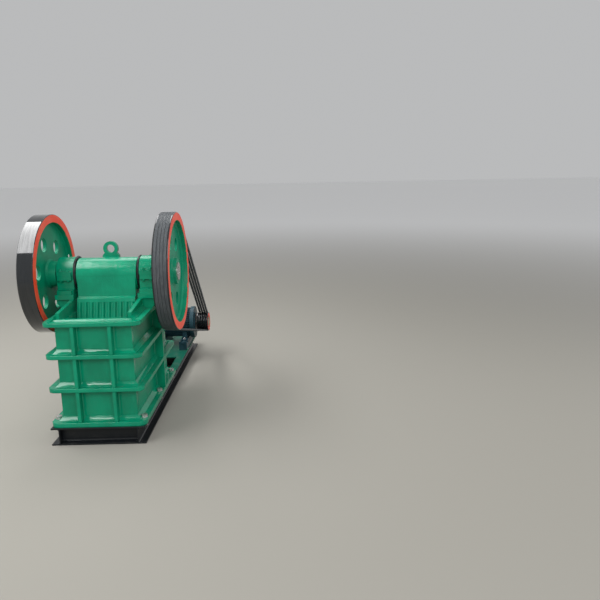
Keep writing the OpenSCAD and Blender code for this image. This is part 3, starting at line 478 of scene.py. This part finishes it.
def makePiece(name, shape, material, body, sharpAngle=40):
    # shape is a function that fills an empty bmesh
    bm = bmesh.new()
    shape(bm)
    mesh = bpy.data.meshes.new(name)
    bmesh.ops.recalc_face_normals(bm, faces=bm.faces)
    bm.to_mesh(mesh)
    bm.free()
    mesh.shade_smooth()
    mesh.set_sharp_from_angle(angle=math.radians(sharpAngle))
    mesh.materials.append(material)
    piece = bpy.data.objects.new(name, mesh)
    bpy.context.scene.collection.objects.link(piece)
    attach(piece, body)
    print("piece", name, len(mesh.polygons), "faces")


def drawOut(bm, start, end, outline, steps):
    # a bar with one closed outline, from start to end
    run = Vector(end) - Vector(start)
    ring = [bm.verts.new(corner) for corner in outline]
    edges = [bm.edges.new((ring[i - 1], ring[i])) for i in range(len(ring))]
    bmesh.ops.spin(bm, geom=ring + edges, cent=start, axis=run.normalized(), dvec=run / steps,
                   angle=0, steps=steps, use_merge=False, use_duplicate=False)
    bmesh.ops.holes_fill(bm, edges=[e for e in bm.edges if e.is_boundary], sides=len(ring))


def edgesAt(bm, corners):
    # the edges that end at some corners, in the mesh's own order
    bm.edges.index_update()
    return sorted({e for v in corners for e in v.link_edges}, key=lambda e: e.index)


weld = {
    "leg": 0.023,
    "smallLeg": 0.007,
    "hollow": 0.045,
    "bulge": 0.10,
    "buried": 0.001,
    "arcSteps": 6,
    "step": 0.0075,
    "ripple": 0.02,
    "rippleRate": 1.7,
    "uneven": 0.03,
    "lumps": 34,
    "sharpAngle": 60,
}
fore = (0, -1, 0)
aft = (0, 1, 0)
up = (0, 0, 1)
down = (0, 0, -1)


def weldBead(bm, start, end, along, rise, leg=weld["smallLeg"], mitres=(0, 0)):
    # a fillet weld in the corner between two plates, whose faces run along and rise from it;
    # a broad one is filled out with paint to a slight hollow, a small one is full;
    # mitres says at which ends it meets the next one round the body's corner
    start = Vector(start)
    along = Vector(along)
    rise = Vector(rise)
    run = Vector(end) - start
    ahead = run.normalized()
    steps = max(2, round(run.length / weld["step"]))
    crown = leg * (-weld["hollow"] if leg > weld["smallLeg"] else weld["bulge"])
    outline = [start - (along + rise) * weld["buried"]]
    for i in range(weld["arcSteps"] + 1):
        share = i / weld["arcSteps"]
        lift = 4 * share * (1 - share) * crown
        outline.append(start + along * leg * (1 - share) + rise * leg * share + (along + rise) * lift)
    before = set(bm.verts)
    drawOut(bm, start, end, outline, steps)
    for v in set(bm.verts) - before:
        length = (v.co - start).dot(ahead)
        outwards = v.co - start - ahead * length
        share = length / run.length
        lumps = noise.noise(v.co * weld["lumps"]) * weld["uneven"]
        ripples = abs(math.sin(length / weld["step"] * weld["rippleRate"])) * weld["ripple"]
        v.co += outwards * (lumps + ripples - weld["ripple"] / 2)
        v.co += ahead * outwards.dot(along) * (share * mitres[1] - (1 - share) * mitres[0])


def weldAcross(bm, y, level, outwards, rise, leg=weld["smallLeg"]):
    # over the body's whole width, mitred at both ends
    weldBead(bm, (-bodyX, y, level), (bodyX, y, level), outwards, rise, leg, (1, 1))


def frontWelds(bm):
    for level in bayFloors:
        weldAcross(bm, frontY, level, fore, up, weld["leg"])
    for level in ribBottoms:
        weldAcross(bm, frontY, level, fore, down)
    uprights = levels("front_uprights", 0)
    for low, high in zip(bayFloors, ribBottoms):
        for i, x in enumerate(uprights):
            side = -1 if i % 2 == 0 else 1
            weldBead(bm, (x, frontY, low), (x, frontY, high), (side, 0, 0), fore)


def lipWeld(bm):
    # the rough bead under the edge that the feed is tipped over
    level = ribTops[-1]
    weldAcross(bm, frontY, level, fore, up, min(weld["leg"], frontWallHigh.z - level))


def sideWelds(side):
    x = bodyX * side
    outwards = (side, 0, 0)
    ribCorners = [v.co for v in nodes["side_ribs_right"].data.vertices]
    topRibEnd = max(corner.y for corner in ribCorners if corner.z > ribBottoms[-1] - sameLevel)
    ends = [rearY, rearY, rearY, topRibEnd]
    gussets = levels("side_gussets", 1)
    seatLow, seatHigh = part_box("bearing_seats")

    def weldAlong(bm, level, end, rise, leg):
        mitres = (1, int(end == rearY))
        weldBead(bm, (x, frontY, level), (x, end, level), outwards, rise, leg, mitres)

    def shape(bm):
        for level, end in zip(bayFloors + ribTops[-1:], ends):
            weldAlong(bm, level, end, up, weld["leg"])
        for level, end in zip(ribBottoms, ends[1:]):
            weldAlong(bm, level, end, down, weld["smallLeg"])
        for low, high in zip(bayFloors, ribBottoms):
            for y, away in zip(gussets[-2:], (fore, aft)):
                weldBead(bm, (x, y, low), (x, y, high), outwards, away)
        for i, y in enumerate(gussets):
            away = fore if i % 2 == 0 else aft
            weldBead(bm, (x, y, ribTops[-1]), (x, y, seatLow.z), outwards, away)
        weldBead(bm, (x, seatLow.y, seatLow.z), (x, seatHigh.y, seatLow.z), outwards, down)

    return shape


def rearWelds(bm):
    for level in bayFloors:
        weldAcross(bm, rearY, level, aft, up, weld["leg"])
    for level in ribBottoms[:-1]:
        weldAcross(bm, rearY, level, aft, down)


barrel = {"throw": 0.008}    # at rest its middle lies this far under the shaft's


def eyeWelds(bm):
    # round the lifting eye's foot, on the slope of the barrel
    eyeLow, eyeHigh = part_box("lifting_eye")
    footX = max(abs(x) for x in levelsAt("lifting_eye", 1, eyeLow.y, 0))
    barrelZ = shaftZ - barrel["throw"]
    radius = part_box("swing_jaw")[1].z - barrelZ
    for y, side in ((eyeLow.y, -1), (eyeHigh.y, 1)):
        lean = math.asin((y - shaftY) / radius)
        z = barrelZ + radius * math.cos(lean)
        slope = Vector((0, math.cos(lean), -math.sin(lean))) * side
        weldBead(bm, (-footX, y, z), (footX, y, z), slope, up)


stitch = {"length": 0.045, "fromEnd": 0.02}


def deckWelds(bm):
    # along the body's base, and stitches beside the motor's rails
    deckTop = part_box("motor_deck")[1].z
    inset = stitch["fromEnd"]
    length = stitch["length"]
    baseY = flangeHigh.y
    weldBead(bm, (flangeLow.x + inset, baseY, deckTop), (flangeHigh.x - inset, baseY, deckTop), aft, up)
    railLow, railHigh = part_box("motor_rails")
    feet = levelsAt("motor_rails", 1, railHigh.y, 0)
    for x, side in ((feet[0], -1), (feet[1], 1), (feet[-2], -1), (feet[-1], 1)):
        for y in (railLow.y + inset, railHigh.y - inset - length):
            weldBead(bm, (x, y, deckTop), (x, y + length, deckTop), (side, 0, 0), up)


welded = {
    "front_welds": (frontWelds, weldPaint, "frame"),
    "lip_weld": (lipWeld, lipPaint, "frame"),
    "side_welds_left": (sideWelds(-1), weldPaint, "frame"),
    "side_welds_right": (sideWelds(1), weldPaint, "frame"),
    "rear_welds": (rearWelds, weldPaint, "frame"),
    "eye_welds": (eyeWelds, weldPaint, "jaw"),
    "deck_welds": (deckWelds, weldPaint, "frame"),
}
for name, (shape, paint, body) in welded.items():
    makePiece(name, shape, paint, body, weld["sharpAngle"])

rolled = {"root": 0.011, "arcSteps": 8, "runSteps": 2, "buried": 0.0008, "short": 0.001}


def rootFillet(bm, start, end, along, rise):
    # the hollow corner between a rolled channel's web and its flange
    start = Vector(start)
    along = Vector(along)
    rise = Vector(rise)
    radius = rolled["root"]
    outline = [start - (along + rise) * rolled["buried"],
               start + along * radius - rise * rolled["buried"]]
    for i in range(rolled["arcSteps"] + 1):
        turn = i * math.pi / 2 / rolled["arcSteps"]
        away = along * (1 - math.sin(turn)) + rise * (1 - math.cos(turn))
        outline.append(start + away * radius)
    outline.append(start + rise * radius - along * rolled["buried"])
    drawOut(bm, start, end, outline, rolled["runSteps"])


def skidRoots(bm):
    frontLow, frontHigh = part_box("skid_front_beam")
    flanges = levels("skid_front_beam", 2)
    webY = levels("skid_front_beam", 1)[-2]
    webX = levels("skid_beam_right", 0)[1]
    beamLow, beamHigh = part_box("skid_beam_right")
    startY = beamLow.y + rolled["short"]
    endY = beamHigh.y - rolled["short"]
    for z, rise in ((flanges[1], up), (flanges[2], down)):
        rootFillet(bm, (frontLow.x, webY, z), (frontHigh.x, webY, z), fore, rise)
        for side in (-1, 1):
            rootFillet(bm, (webX * side, startY, z), (webX * side, endY, z), (side, 0, 0), rise)


makePiece("skid_root_fillets", skidRoots, rootPaint, "frame", weld["sharpAngle"])


def chamferedBlock(bm, place, radius, high, sides, chamfer, steps, bothEnds=False):
    # a round or six-sided block about its middle, chamfered round its outer end or both ends
    made = bmesh.ops.create_cone(bm, cap_ends=True, segments=sides, radius1=radius, radius2=radius,
                                 depth=high, matrix=place)
    outwards = place.to_3x3() @ Vector(up)
    rims = []
    for edge in edgesAt(bm, made["verts"]):
        heights = [(v.co - place.translation).dot(outwards) for v in edge.verts]
        if min(heights) > 0 or (bothEnds and max(heights) < 0):
            rims.append(edge)
    bmesh.ops.bevel(bm, geom=rims, offset=chamfer, affect="EDGES", segments=steps, profile=0.5, material=-1)


bolt = {
    # radius, height, sides and chamfer; the head is 19 mm across its flats
    "washer": (0.012, 0.0025, 32, 0.0006),
    "head": (0.019 / math.sqrt(3), 0.008, 6, 0.0012),
    "stud": (0.006, 0.006, 20, 0.0006),
    "chamferSteps": 2,
}


def hexBolt(bm, foot, axis, size=1.0, stud=True):
    # washer, chamfered hexagon and the stud's end, standing on foot along axis
    turn = Vector(up).rotation_difference(Vector(axis)).to_matrix().to_4x4()
    stand = Matrix.Translation(foot) @ turn
    layers = ("washer", "head", "stud") if stud else ("washer", "head")
    height = 0.0
    for layer in layers:
        radius, high, sides, chamfer = bolt[layer]
        place = stand @ Matrix.Translation((0, 0, height + high * size / 2))
        chamferedBlock(bm, place, radius * size, high * size, sides, chamfer * size, bolt["chamferSteps"])
        height += high * size


capBolts = {"inset": 0.009, "fromEnd": 0.020, "underSize": 0.9}


def housingBolts(bm):
    capLow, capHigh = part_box("bearing_cap_right")
    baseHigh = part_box("bearing_base_right")[1]
    flangeX = levelsAt("bearing_cap_right", 1, capHigh.y, 0)
    flangeTop = levelsAt("bearing_cap_right", 1, capHigh.y, 2)[-1]
    under = levelsAt("bearing_base_right", 1, baseHigh.y, 2)[-2]
    for side in (-1, 1):
        for x in (flangeX[0] + capBolts["fromEnd"], flangeX[-1] - capBolts["fromEnd"]):
            for y in (capLow.y + capBolts["inset"], capHigh.y - capBolts["inset"]):
                hexBolt(bm, (side * x, y, flangeTop), up)
                hexBolt(bm, (side * x, y, under), down, capBolts["underSize"], False)


makePiece("housing_bolts", housingBolts, castPaint, "frame")


nipple = {
    "outline": [(0, 0), (0.0055, 0), (0.0055, 0.005), (0.0030, 0.0062), (0.0026, 0.0092),
                (0.0036, 0.0105), (0.0030, 0.0125), (0.0012, 0.0134), (0, 0.0134)],
    "sunk": 0.0006,
    "steps": 24,
    "merge": 0.00005,
}


def greaseNipples(bm):
    # one on the crown of each bearing cap, turned about its own upright axis
    capLow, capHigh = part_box("bearing_cap_right")
    for side in (-1, 1):
        foot = Vector((side * (capLow.x + capHigh.x) / 2, shaftY, capHigh.z - nipple["sunk"]))
        points = [bm.verts.new(foot + Vector((r, 0, z))) for r, z in nipple["outline"]]
        edges = [bm.edges.new(pair) for pair in zip(points, points[1:])]
        bmesh.ops.spin(bm, geom=points + edges, cent=foot, axis=up, dvec=(0, 0, 0),
                       angle=2 * math.pi, steps=nipple["steps"], use_merge=True, use_duplicate=False)
    bmesh.ops.remove_doubles(bm, verts=bm.verts, dist=nipple["merge"])


makePiece("grease_nipples", greaseNipples, steel, "frame")


motorBolts = {"fromEnd": 0.024, "size": 0.85, "railEnd": 0.012, "lidInset": 0.010, "lidSize": 0.42}


def motorFixings(bm):
    # through the motor's feet, at the rails' ends and on the terminal box's lid
    bodyLow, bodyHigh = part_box("motor_body")
    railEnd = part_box("motor_rails")[1].y
    footTop = levelsAt("motor_body", 1, bodyHigh.y, 2)[-1]
    rails = levelsAt("motor_rails", 1, railEnd, 0)
    size = motorBolts["size"]
    for x in ((rails[0] + rails[1]) / 2, (rails[-2] + rails[-1]) / 2):
        for y in (bodyLow.y + motorBolts["fromEnd"], bodyHigh.y - motorBolts["fromEnd"]):
            hexBolt(bm, (x, y, footTop), up, size)
        hexBolt(bm, (x, railEnd - motorBolts["railEnd"], bodyLow.z), up, size)
    lidLow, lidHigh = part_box("terminal_box")
    lidY = levelsAt("terminal_box", 2, lidHigh.z, 1)
    inset = motorBolts["lidInset"]
    for x in (lidLow.x + inset, lidHigh.x - inset):
        for y in (lidY[0] + inset, lidY[-1] - inset):
            hexBolt(bm, (x, y, lidHigh.z), up, motorBolts["lidSize"], False)


makePiece("motor_bolts", motorFixings, boltSteel, "frame")


endScrew = {
    "head": (0.0075, 0.0024, 24, 0.0011),    # radius, height, sides and chamfer
    "chamferSteps": 3,
    "count": 3,
}


def endScrews(bm):
    # low heads, rounded at both rims, that hold the plates on the ends of the eccentric shaft
    radius, high, sides, chamfer = endScrew["head"]
    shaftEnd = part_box("eccentric_shaft")[1].x
    plate = levelsAt("eccentric_shaft", 0, shaftEnd, 2)
    ring = (plate[-1] - plate[0]) / 4
    for side in (-1, 1):
        for i in range(endScrew["count"]):
            turn = 2 * math.pi * i / endScrew["count"]
            middle = (side * (shaftEnd + high / 2), shaftY + ring * math.sin(turn),
                      shaftZ + ring * math.cos(turn))
            place = Matrix.Translation(middle) @ Matrix.Rotation(side * math.pi / 2, 4, "Y")
            chamferedBlock(bm, place, radius, high, sides, chamfer, endScrew["chamferSteps"], True)


makePiece("shaft_end_screws", endScrews, steel, "rotor")


sealRing = {"radius": 0.0965, "thick": 0.0072, "sides": 12, "steps": 120, "ahead": 0.002,
            "lumps": 0.0016, "lumpScale": 60}


def packingRings(bm):
    # one in each gap between the barrel and a bearing housing
    sealX = (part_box("bearing_cap_right")[0].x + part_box("swing_jaw")[1].x) / 2 + sealRing["ahead"]
    for x in (-sealX, sealX):
        made = bmesh.ops.create_circle(bm, segments=sealRing["sides"], radius=sealRing["thick"],
                                       cap_ends=False)
        ring = made["verts"]
        bmesh.ops.rotate(bm, verts=ring, cent=(0, 0, 0), matrix=Matrix.Rotation(math.pi / 2, 3, "X"))
        bmesh.ops.translate(bm, verts=ring, vec=(x, shaftY, shaftZ + sealRing["radius"]))
        bmesh.ops.spin(bm, geom=ring + edgesAt(bm, ring), cent=(x, shaftY, shaftZ), axis=(1, 0, 0),
                       dvec=(0, 0, 0), angle=2 * math.pi, steps=sealRing["steps"], use_merge=True,
                       use_duplicate=False)
    for v in bm.verts:
        away = Vector((0, v.co.y - shaftY, v.co.z - shaftZ)).normalized()
        v.co += away * noise.noise(v.co * sealRing["lumpScale"]) * sealRing["lumps"]


makePiece("seal_packing", packingRings, felt, "frame")


# Floor, light and camera

floorLook = {
    "near": (0.315, 0.302, 0.268, 1),
    "far": (0.93, 0.93, 0.93, 1),
    "fadeFrom": 2.5,
    "fadeTo": 14.0,
    "size": 120.0,
    "roughness": 0.9,
}
bpy.ops.mesh.primitive_plane_add(size=floorLook["size"])
floor = bpy.context.object
floor.name = "floor"
floorFinish, wire = newFinish("floor_finish")
away = (wire.axis("X") * wire.axis("X") + wire.axis("Y") * wire.axis("Y")).power(0.5)
tone = away.between(floorLook["fadeFrom"], floorLook["fadeTo"]).mix(floorLook["near"], floorLook["far"])
finishWith(wire, {"Base Color": tone, "Roughness": floorLook["roughness"]})
floor.data.materials.append(floorFinish)
print("floor laid")

studio = {"colour": (0.98, 0.99, 1.0, 1), "strength": 0.50}
world = bpy.data.worlds.new("studio")
bpy.context.scene.world = world
world.use_nodes = True
background = world.node_tree.nodes["Background"].inputs
background["Color"].default_value = studio["colour"]
background["Strength"].default_value = studio["strength"]

softboxes = {
    "long_left": {"place": (-1.9, -1.0, 4.0), "aim": (-1.9, -1.0, 0), "size": (1.0, 4.8), "power": 112},
    "over_front": {"place": (-1.2, -1.35, 4.0), "aim": (-1.2, -1.35, 0), "size": (0.4, 2.5), "power": 34},
    "over_rear": {"place": (-0.5, 2.0, 4.0), "aim": (-0.5, 2.0, 0), "size": (1.8, 2.8), "power": 63},
    "front": {"place": (1.6, -7.0, 4.2), "aim": (0, -0.3, 0.6), "size": (5.0, 3.0), "power": 236},
    "right": {"place": (4.0, -1.0, 3.0), "aim": (0, -0.3, 0.5), "size": (2.0, 2.0), "power": 32},
}
for name, box in softboxes.items():
    lamp = bpy.data.lights.new(name, "AREA")
    lamp.shape = "RECTANGLE"
    lamp.size, lamp.size_y = box["size"]
    lamp.energy = box["power"]
    lampObject = bpy.data.objects.new(name, lamp)
    lampObject.location = box["place"]
    aim = Vector(box["aim"]) - Vector(box["place"])
    lampObject.rotation_euler = aim.to_track_quat("-Z", "Y").to_euler()
    bpy.context.scene.collection.objects.link(lampObject)
print("lamps hung:", len(softboxes))

view = {
    "place": (1.0923, -4.3059, 1.4968),
    "pitch": 11.899,
    "roll": -1.031,
    "heading": 0.767,
    "focalPixels": 628.7,
    "imagePixels": 600,
}
cameraData = bpy.data.cameras.new("camera")
cameraData.lens = cameraData.sensor_width * view["focalPixels"] / view["imagePixels"]
camera = bpy.data.objects.new("camera", cameraData)
camera.matrix_world = (
    Matrix.Translation(view["place"])
    @ Matrix.Rotation(-math.radians(view["heading"]), 4, "Z")
    @ Matrix.Rotation(math.radians(90 - view["pitch"]), 4, "X")
    @ Matrix.Rotation(math.radians(view["roll"]), 4, "Z"))
bpy.context.scene.collection.objects.link(camera)
bpy.context.scene.camera = camera
bpy.context.scene.view_settings.view_transform = "Standard"
print("camera set")
